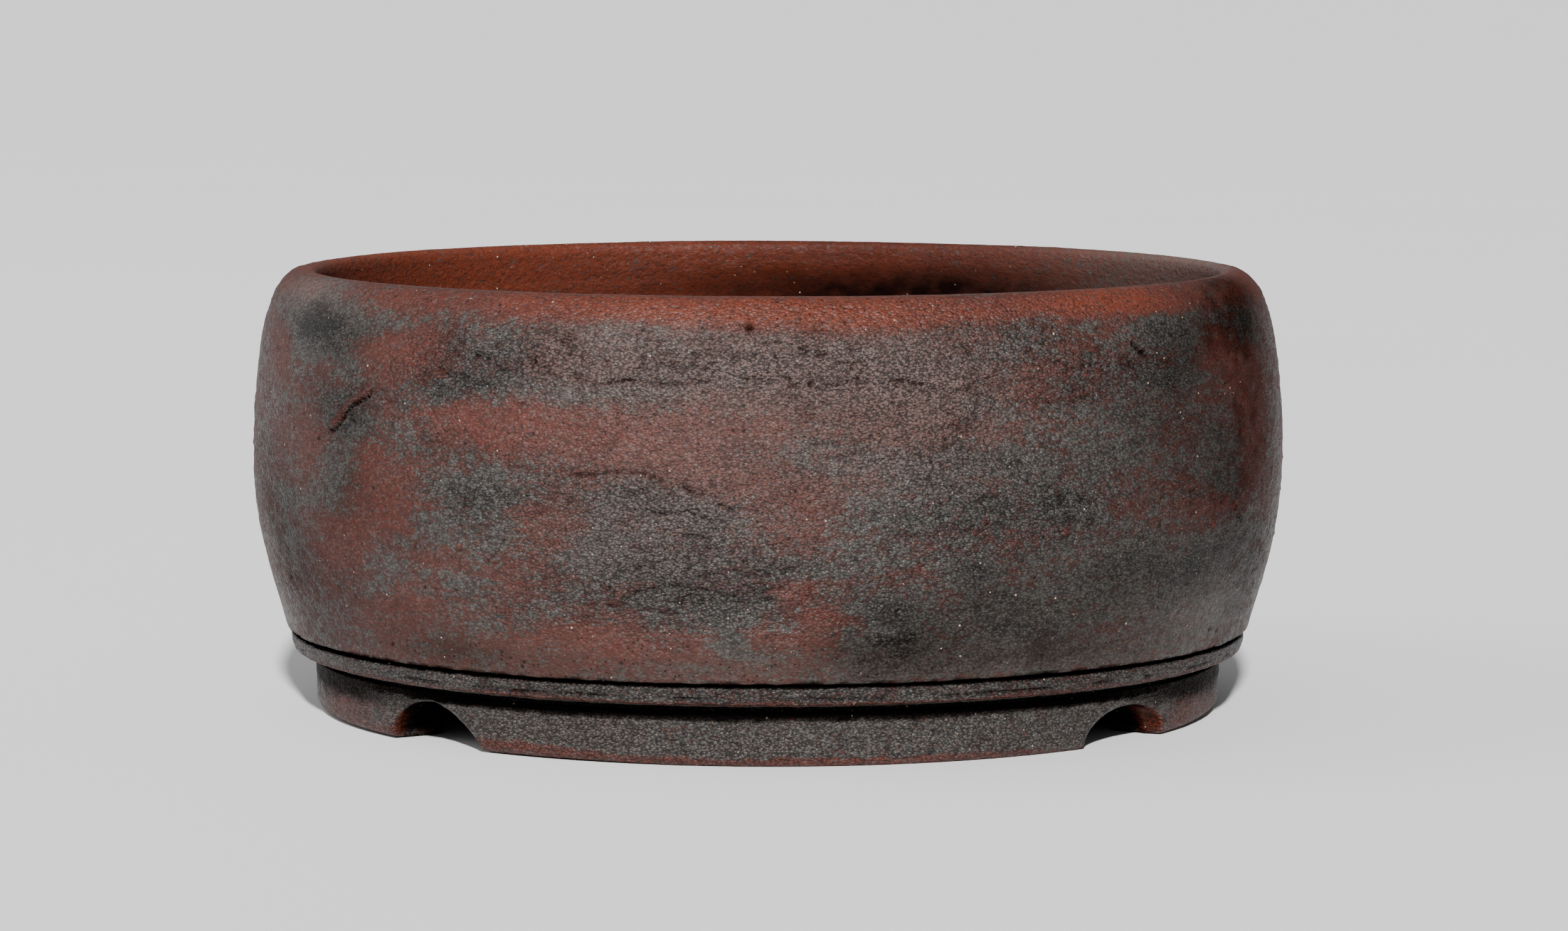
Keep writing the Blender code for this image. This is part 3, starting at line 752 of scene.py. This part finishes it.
# ---------------------------------------------------------------- floor slab
def floor_outline():
    """Floor slab with its outside band, undercut down to the foot; the drain hole is central."""
    band = BAND_RADIUS
    edge = straight_path(
        [
            (band - 1.0 * MM, JOINT_HEIGHT - 0.10 * MM),
            (band - 0.60 * MM, JOINT_HEIGHT - 0.18 * MM),
            (band - 0.22 * MM, JOINT_HEIGHT - 0.40 * MM),
            (band - 0.05 * MM, JOINT_HEIGHT - 0.65 * MM),
            (band - 0.10 * MM, 10.1 * MM),
            (band - 0.45 * MM, 9.15 * MM),
            (band - 0.75 * MM, 8.90 * MM),
            (FOOT_RADIUS + 0.9 * MM, 8.35 * MM),
            (FOOT_RADIUS + 0.15 * MM, 8.20 * MM),
            (FOOT_RADIUS, 8.0 * MM),
            (FOOT_RADIUS - 0.1 * MM, FLOOR_UNDERSIDE + 0.02 * MM),
        ],
        0.26 * MM,
    )
    under = straight_path(
        [(65.4 * MM, FLOOR_UNDERSIDE), (DRAIN_RADIUS + 0.7 * MM, FLOOR_UNDERSIDE)], 1.8 * MM
    )
    bore = smooth_path(
        [
            (DRAIN_RADIUS + 0.2 * MM, FLOOR_UNDERSIDE + 0.15 * MM),
            (DRAIN_RADIUS, FLOOR_UNDERSIDE + 0.7 * MM),
            (DRAIN_RADIUS, FLOOR_TOP - 0.7 * MM),
            (DRAIN_RADIUS + 0.2 * MM, FLOOR_TOP - 0.2 * MM),
        ],
        0.8 * MM,
    )
    top = straight_path([(DRAIN_RADIUS + 0.8 * MM, FLOOR_TOP), (62.2 * MM, FLOOR_TOP)], 0.8 * MM)
    return np.vstack([edge, under, bore, top, [(62.4 * MM, JOINT_HEIGHT - 0.1 * MM)]])


def pierce(piece, radius, places):
    """Cut upright round holes through a piece."""
    shape = bmesh.new()
    for x, y in places:
        bmesh.ops.create_cone(
            shape,
            cap_ends=True,
            segments=40,
            radius1=radius,
            radius2=radius,
            depth=20 * MM,
            matrix=Matrix.Translation((x, y, (FLOOR_TOP + FLOOR_UNDERSIDE) / 2)),
        )
    mesh = bpy.data.meshes.new("hole_cutter")
    shape.to_mesh(mesh)
    shape.free()
    cutter = linked("hole_cutter", mesh)
    modifier = piece.modifiers.new("holes", "BOOLEAN")
    modifier.object = cutter
    modifier.operation = "DIFFERENCE"
    modifier.solver = "EXACT"
    cut = evaluated_mesh(piece)
    piece.modifiers.clear()
    piece.data = cut
    bpy.data.objects.remove(cutter, do_unlink=True)


def floor_slab():
    points, faces, normals = turned_points(floor_outline(), even_angles(FLOOR_COLUMNS))
    azimuth, height = around(points)
    radius = np.hypot(points[:, 0], points[:, 1]) / MM
    outer = ease(64.9, 65.6, radius)
    general = fractal(points, 12, 103, 3, (1.4, 1.4, 0.8))
    level = fractal(points, 2.2, 107, 3, (2.6, 2.6, 0.5), 0.6)
    ragged = fractal(points, 1.3, 111, 3, (1.3, 1.3, 0.8), 0.6)
    face = outer * ease(8.75, 9.1, height)
    slope = outer * (1 - ease(8.35, 8.95, height + 0.10 * ragged))
    line = 9.85 + 0.30 * fractal(points, 6, 113, 2, (1, 1, 5))
    tear = hump(height - line, 0.22) * ease(-0.15, 0.25, fractal(points, 7, 117, 3, (1, 1, 5)))
    tear *= face
    pits = np.clip(ease(0.30, 0.65, -ragged), 0, 1)
    lift = face * (0.08 * level + 0.10 * ragged - 0.28 * tear) + slope * (0.16 * ragged - 0.30 * pits)
    spiral = np.sin(TAU * (radius / 3.4 + azimuth / 360))
    inside = (1 - outer) * ease(FLOOR_TOP / MM - 0.3, FLOOR_TOP / MM, height)
    lift += inside * (0.10 * spiral + 0.12 * ragged) - 0.12 * inside
    edge = hump(height - 8.9, 0.35) * outer
    lift += edge * 0.12 * fractal(points, 1.8, 119, 2, (1, 1, 4))
    points = points + normals * (lift * MM)[:, None]
    lip = hump(height - JOINT + 0.5, 0.35) * outer
    points[:, 2] += lip * 0.16 * MM * fractal(points, 2.0, 121, 3, (1, 1, 4))
    # The band's lower edge is wiped redder and more orange, which also stands in for its highlight
    # (painted highlight).
    wash = 0.40 + 0.30 * general + face * (0.25 + 0.30 * level - 1.2 * edge) + slope * 0.9
    # Painted shade: in the band's tears and pits, over the undercut slope where the band casts its
    # shadow, in the groove above the band, and under the slab.
    painted_shade = face * np.clip(0.55 * tear + 0.35 * pits, 0, 1) + slope * (0.80 + 0.30 * pits)
    painted_shade = np.maximum(painted_shade, outer * ease(JOINT - 0.52, JOINT - 0.34, height + 0.10 * ragged))
    painted_shade = np.maximum(painted_shade, (1 - outer) * (1 - inside) * 0.5)
    film_and_painted_sheen = 0.25 * face * ease(-0.2, 0.5, general)
    marks = {
        "wash": wash,
        "orange_and_painted_light": 0.45 * edge + 0.1 * inside,
        "film_and_painted_sheen": film_and_painted_sheen,
        "painted_shade": np.clip(painted_shade, 0, 0.97),
        "torn": 0.25 + 0.45 * face + 0.4 * slope,
    }
    piece = mesh_object("pot_floor", points, faces, marks, clay_material("floor_clay"))
    reach = WIRE_HOLE_CIRCLE
    pierce(piece, WIRE_HOLE_RADIUS, ((reach, 0), (0, reach), (-reach, 0), (0, -reach)))
    return place(piece, "floor_clay", "floor_slab")


# ---------------------------------------------------------------- foot ring
def foot_outline():
    top = FLOOR_UNDERSIDE - 0.02 * MM
    outer = FOOT_RADIUS - 0.2 * MM
    inner = outer - 8.8 * MM
    return smooth_path(
        [
            (FOOT_RADIUS, top),
            (outer, 4.6 * MM),
            (outer - 0.05 * MM, 2.0 * MM),
            (outer - 0.35 * MM, 0.8 * MM),
            (outer - 0.9 * MM, 0.25 * MM),
            (outer - 1.8 * MM, 0.02 * MM),
            (inner + 1.0 * MM, 0.02 * MM),
            (inner + 0.3 * MM, 0.3 * MM),
            (inner, 1.0 * MM),
            (inner - 0.3 * MM, top),
        ],
        0.42 * MM,
    )


def notch_angles():
    """Column angles: even ones, with extra ones where the notches' sides are steep."""
    angles = [even_angles(FOOT_COLUMNS)]
    reach = math.radians(8.4)
    for azimuth, _, _ in NOTCHES:
        angles.append(np.linspace(-reach, reach, 90) + math.radians(azimuth - 90))
    angles = np.sort(np.concatenate(angles) % TAU)
    return angles[np.append(np.diff(angles) > 1e-4, True)]


def notch_rise(azimuth, wander):
    """Height in mm that each notch lifts the tread to."""
    rise = np.zeros(len(azimuth))
    for centre, tall, side in NOTCHES:
        across = (np.radians(turn_from(azimuth, centre)) * 65.8 + wander) / (NOTCH_WIDTH / 2)
        straight = abs(side) * ease(-0.3, 0.3, across * side)
        arch = np.clip(1 - np.abs(across) ** (2.1 - 0.5 * straight), 0, 1)
        rise += tall * arch ** (0.58 + 0.22 * straight)
    return rise


# Worn stretches of the tread's outer edge: like the patches, with the height unused.
TREAD_WEAR = ((-62, 0, 24, 9, 0.25), (76, 0, 16, 9, 0.30), (-26, 0, 13, 9, 0.15))


def foot_ring():
    points, faces, normals = turned_points(foot_outline(), notch_angles())
    azimuth, height = around(points)
    radius = np.hypot(points[:, 0], points[:, 1]) / MM
    top = FLOOR_UNDERSIDE / MM
    flat = points * (1, 1, 0)
    rise = notch_rise(azimuth, 0.25 * fractal(flat, 5, 221, 2))
    tread = 1 - ease(0.3, 1.1, height)
    worn = patch_sum(azimuth, height * 0, TREAD_WEAR) * ease(59.0, 65.3, radius)
    lifted = np.maximum(rise, worn)
    share = np.clip(1 - height / top, 0, 1)
    points[:, 2] += lifted * share * MM
    height = points[:, 2] / MM
    ragged = fractal(points, 1.6, 207, 3, (1.5, 1.5, 0.8), 0.6)
    turning = fractal(points, 1.6, 209, 2, (8, 8, 0.5))
    outer = ease(63.0, 65.0, radius)
    notch = ease(0.2, 1.2, rise) * np.maximum(tread, 1 - outer)
    lift = outer * ease(0.1, 1.0, height) * (0.09 * ragged + 0.06 * turning) - 0.05
    points = points + normals * (lift * MM)[:, None]
    wiped_top = 1.0 + 1.1 * sector(azimuth, -34, 13) - 0.7 * ease(24, 40, azimuth)
    wiped_top += 0.30 * fractal(points, 7, 211, 3, (1, 1, 5)) + 0.5 * worn
    low = (1 - ease(-0.7, 0.7, height - wiped_top + 0.4 * ragged)) * outer
    general = fractal(points, 9, 203, 3, (1.6, 1.6, 0.8))
    wash = 0.82 + 0.35 * general - 1.5 * low + 0.3 * ragged
    ends = 1.1 * sector(azimuth, 70, 11) + 0.70 * sector(azimuth, -66, 14)
    wash -= (1 - ease(4.0, 5.6, height + 0.6 * ragged)) * ends
    film_and_painted_sheen = 0.24 * ease(-0.5, 0.5, general) * outer * (1 - low)
    # Painted shade in the pits and where the foot meets the slab under the band.
    painted_shade = 0.50 * ease(0.35, 0.75, -ragged) * outer + 0.85 * hump(height - top, 0.6)
    # Painted shadow of the band's overhang: near black at the top of the foot, and lighter but reaching
    # lower towards the sides.
    aside = ease(42, 62, np.abs(azimuth))
    shaded_top = (1 - 0.45 * aside) * ease(6.0, 6.8, height + 0.5 * ragged)
    painted_shade = np.maximum(painted_shade, 0.97 * shaded_top * outer)
    painted_shade = np.maximum(painted_shade, 0.55 * aside * ease(3.0, 5.4, height + 1.1 * ragged) * outer)
    # Painted shade on the inner face of the ring, under the pot.
    under = (1 - outer) * (1 - notch)
    painted_shade = np.maximum(painted_shade, 0.6 * under)
    # Painted light and shade in the notches: the lit flanks are painted redder and orange, and deeper in
    # they are painted near black.
    depth = FOOT_RADIUS / MM - radius
    lit_flank = sector(azimuth, 57.0, 3.2) * (1 - ease(2.2, 5.2, depth))
    lit_flank += 0.6 * sector(azimuth, -53.0, 2.0) * (1 - ease(1.2, 3.2, depth))
    lit_flank *= notch
    notch_shade = notch * ease(0.3, 1.2, depth) * (1 - 0.9 * lit_flank)
    wash -= 3.0 * lit_flank
    film_and_painted_sheen *= 1 - notch
    painted_shade = np.maximum(painted_shade * (1 - 0.8 * lit_flank), 0.45 * np.clip(lit_flank, 0, 1))
    painted_shade = np.maximum(painted_shade, 0.97 * notch_shade)
    orange_and_painted_light = 0.25 * low + 0.35 * low * sector(azimuth, 12, 14) + 1.6 * lit_flank
    marks = {
        "wash": wash,
        "orange_and_painted_light": np.clip(orange_and_painted_light, 0, 1),
        "film_and_painted_sheen": film_and_painted_sheen,
        "painted_shade": np.clip(painted_shade, 0, 0.98),
        "torn": 0.52 + 0.20 * general,
    }
    piece = mesh_object("pot_foot", points, faces, marks, clay_material("foot_clay"))
    return place(piece, "foot_clay", "foot_ring")


# ---------------------------------------------------------------- drainage screen and clip
SCREEN_OPENINGS = 9
SCREEN_PITCH = 3.0 * MM
SCREEN_BAR = 0.9 * MM
WIRE_RADIUS = 0.6 * MM
CLIP_LEG_X = 2 * SCREEN_PITCH
CLIP_LOOP_RADIUS = 3.6 * MM
CLIP_TAIL_X = 15.0 * MM
CLIP_BEND = 1.3 * MM


def plastic_material():
    g = Graph("screen_plastic")
    dust = g.span(g.noise(2.4, 4, 0.6), 0.42, 0.72)
    colour = g.blend(g.times(dust, 0.28), (0.012, 0.013, 0.013), (0.10, 0.055, 0.038))
    g.surface("Base Color", colour)
    g.surface("Roughness", g.span(dust, 0, 1, 0.38, 0.62))
    g.bumps((g.noise(0.35, 3, 0.6), 0.05))
    return g.material


def drain_screen():
    """Moulded lattice whose bars are rounded, a little uneven and joined at thick crossings."""
    cells = 2 * SCREEN_OPENINGS + 1
    half = (SCREEN_OPENINGS * SCREEN_PITCH + SCREEN_BAR) / 2
    lines = [0.0]
    for cell in range(cells):
        lines.append(lines[-1] + (SCREEN_PITCH - SCREEN_BAR if cell % 2 else SCREEN_BAR))
    levels = (SCREEN_LOW.z, SCREEN_HIGH.z)
    solid = {(i, j) for i in range(cells) for j in range(cells) if not (i % 2 and j % 2)}
    shape = bmesh.new()
    corners = {}

    def corner(i, j, level):
        if (i, j, level) not in corners:
            corners[i, j, level] = shape.verts.new((lines[i] - half, lines[j] - half, levels[level]))
        return corners[i, j, level]

    for i, j in sorted(solid):
        ring = [(i, j), (i + 1, j), (i + 1, j + 1), (i, j + 1)]
        shape.faces.new([corner(*spot, 1) for spot in ring])
        shape.faces.new([corner(*spot, 0) for spot in reversed(ring)])
        neighbours = [(i, j - 1), (i + 1, j), (i, j + 1), (i - 1, j)]
        for side, neighbour in enumerate(neighbours):
            if neighbour not in solid:
                start, end = ring[side], ring[(side + 1) % 4]
                shape.faces.new((corner(*start, 0), corner(*end, 0), corner(*end, 1), corner(*start, 1)))
    bmesh.ops.recalc_face_normals(shape, faces=shape.faces)
    sharp = [edge for edge in shape.edges if edge.calc_face_angle(0) > 1]
    bmesh.ops.bevel(shape, geom=sharp, offset=0.2 * MM, segments=2, profile=0.5, affect="EDGES")
    bmesh.ops.subdivide_edges(
        shape, edges=[e for e in shape.edges if e.calc_length() > 1.2 * MM], cuts=2, use_grid_fill=True
    )
    shape.verts.index_update()
    points = np.array([vert.co for vert in shape.verts], float)
    faces = [[vert.index for vert in face.verts] for face in shape.faces]
    faces.sort(key=sorted)  # subdividing leaves them in an order that changes from run to run
    shape.free()
    middle = (SCREEN_LOW.z + SCREEN_HIGH.z) / 2
    x_phase = (points[:, 0] / SCREEN_PITCH + SCREEN_OPENINGS / 2) % 1
    y_phase = (points[:, 1] / SCREEN_PITCH + SCREEN_OPENINGS / 2) % 1
    crossing = (np.abs(x_phase - 0.5) > 0.3) & (np.abs(y_phase - 0.5) > 0.3)
    points[:, 2] = middle + (points[:, 2] - middle) * np.where(crossing, 1.0, 0.78)
    points[:, :2] += 0.08 * MM * np.stack([fractal(points, 6, 301, 2), fractal(points, 6, 303, 2)], 1)
    piece = mesh_object("drain_screen_net", points, faces, {}, plastic_material())
    return place(piece, "screen_plastic", "drain_screen")


def wire_material():
    g = Graph("clip_wire")
    drawn = g.noise(0.5, 3, 0.6, g.stretch((1, 1, 0.2)))
    scuffs = g.span(g.noise(1.1, 5, 0.7), 0.55, 0.70)
    colour = g.blend(scuffs, (0.40, 0.285, 0.20), (0.62, 0.58, 0.53))
    g.surface("Base Color", colour)
    g.surface("Metallic", 1.0)
    g.surface("Roughness", g.span(drawn, 0.3, 0.7, 0.28, 0.46))
    g.bumps((drawn, 0.02))
    return g.material


def clip_half_route():
    below = FLOOR_UNDERSIDE - 0.3 * MM - WIRE_RADIUS
    above = CLIP_HIGH.z - WIRE_RADIUS
    bend = CLIP_BEND
    knots = [
        (CLIP_TAIL_X, 0.0, below),
        (CLIP_TAIL_X - 3 * MM, 0.0, below),
        (CLIP_LEG_X + 2 * bend, 0.0, below),
        (CLIP_LEG_X + bend, 0.0, below),
        (CLIP_LEG_X + 0.3 * bend, 0.0, below + 0.3 * bend),
        (CLIP_LEG_X, 0.0, below + bend),
        (CLIP_LEG_X, 0.0, below + 2 * bend),
        (CLIP_LEG_X, 0.0, above - 2 * bend),
        (CLIP_LEG_X, 0.0, above - bend),
        (CLIP_LEG_X, 0.25 * bend, above - 0.25 * bend),
    ]
    centre_x = CLIP_LEG_X + CLIP_LOOP_RADIUS
    for degrees in (155, 130, 100, 70, 40, 10, -20, -50, -80, -110, -135):
        angle = math.radians(degrees)
        across = centre_x + CLIP_LOOP_RADIUS * math.cos(angle)
        knots.append((across, CLIP_LOOP_RADIUS * math.sin(angle), above))
    return knots


def screen_clip():
    half = clip_half_route()
    mirrored = [(-x, -y, z) for x, y, z in reversed(half)]
    route = smooth_path([*half, (0.0, 0.0, half[-1][2]), *mirrored], 0.35 * MM)
    curve = bpy.data.curves.new("clip_route", "CURVE")
    curve.dimensions = "3D"
    curve.bevel_depth = WIRE_RADIUS
    curve.bevel_resolution = 4
    curve.use_fill_caps = True
    spline = curve.splines.new("POLY")
    spline.points.add(len(route) - 1)
    for knot, spot in zip(spline.points, route):
        knot.co = (*spot, 1.0)
    holder = linked("clip_route", curve)
    mesh = evaluated_mesh(holder)
    bpy.data.objects.remove(holder, do_unlink=True)
    mesh.name = "screen_clip_wire"
    mesh.shade_smooth()
    mesh.set_sharp_from_angle(angle=math.radians(50))
    mesh.materials.clear()
    mesh.materials.append(wire_material())
    piece = linked("screen_clip_wire", mesh)
    return place(piece, "clip_wire", "screen_clip")


# ---------------------------------------------------------------- stage
STAGE_HALF_WIDTH = 30.0
PAPER_SHADES = ((0.86, 0.858, 0.856), (0.89, 0.888, 0.886))
SKY_COLOUR = (0.97, 0.985, 1.0, 1)
SKY_STRENGTH_LEFT = 0.56
SKY_STRENGTH_RIGHT = 0.12
CAMERA_PLACE = (0, -0.80, 0.1117)
CAMERA_TURN_DEGREES = (90 - 5.494, -0.097, -0.159)
CAMERA_LENS = 125.92
SENSOR_WIDTH = 36


def paper_material():
    g = Graph("pale_floor")
    g.surface("Base Color", g.blend(g.noise(180, 2, 0.5), *PAPER_SHADES))
    g.surface("Roughness", 0.65)
    return g.material


def stage():
    half = STAGE_HALF_WIDTH
    corners = [(-half, -half, 0), (half, -half, 0), (half, half, 0), (-half, half, 0)]
    mesh_object("studio_floor", corners, [(0, 1, 2, 3)], {}, paper_material())


def light(name, kind, energy, azimuth, elevation, distance, size):
    data = bpy.data.lights.new(name, kind)
    data.energy = energy
    if kind == "SUN":
        data.angle = size
    else:
        data.size = size
    lamp = linked(name, data)
    az, el = math.radians(azimuth), math.radians(elevation)
    way = Vector((math.sin(az) * math.cos(el), -math.cos(az) * math.cos(el), math.sin(el)))
    lamp.location = Vector((0, 0, POT_HEIGHT / 2)) + way * distance
    lamp.rotation_euler = (-way).to_track_quat("-Z", "Y").to_euler()


def lights():
    world = bpy.data.worlds.new("studio")
    world.use_nodes = True
    background = world.node_tree.nodes["Background"]
    background.inputs["Color"].default_value = SKY_COLOUR
    tree = world.node_tree
    where = tree.nodes.new("ShaderNodeTexCoord")
    split = tree.nodes.new("ShaderNodeSeparateXYZ")
    across = tree.nodes.new("ShaderNodeMapRange")
    across.inputs["From Min"].default_value = -1
    across.inputs["To Min"].default_value = SKY_STRENGTH_LEFT
    across.inputs["To Max"].default_value = SKY_STRENGTH_RIGHT
    tree.links.new(where.outputs["Generated"], split.inputs[0])
    tree.links.new(split.outputs["X"], across.inputs["Value"])
    tree.links.new(across.outputs["Result"], background.inputs["Strength"])
    bpy.context.scene.world = world
    light("key", "SUN", 6.9, 1, 33, 1.0, math.radians(3))
    light("left_fill", "AREA", 4.0, -80, 35, 1.4, 1.0)


def camera():
    data = bpy.data.cameras.new("camera")
    data.sensor_width = SENSOR_WIDTH
    data.lens = CAMERA_LENS
    data.clip_start = 0.05
    data.clip_end = 100
    eye = linked("camera", data)
    eye.location = CAMERA_PLACE
    eye.rotation_euler = [math.radians(angle) for angle in CAMERA_TURN_DEGREES]
    bpy.context.scene.camera = eye


camera()
lights()
stage()
wall()
floor_slab()
foot_ring()
drain_screen()
screen_clip()
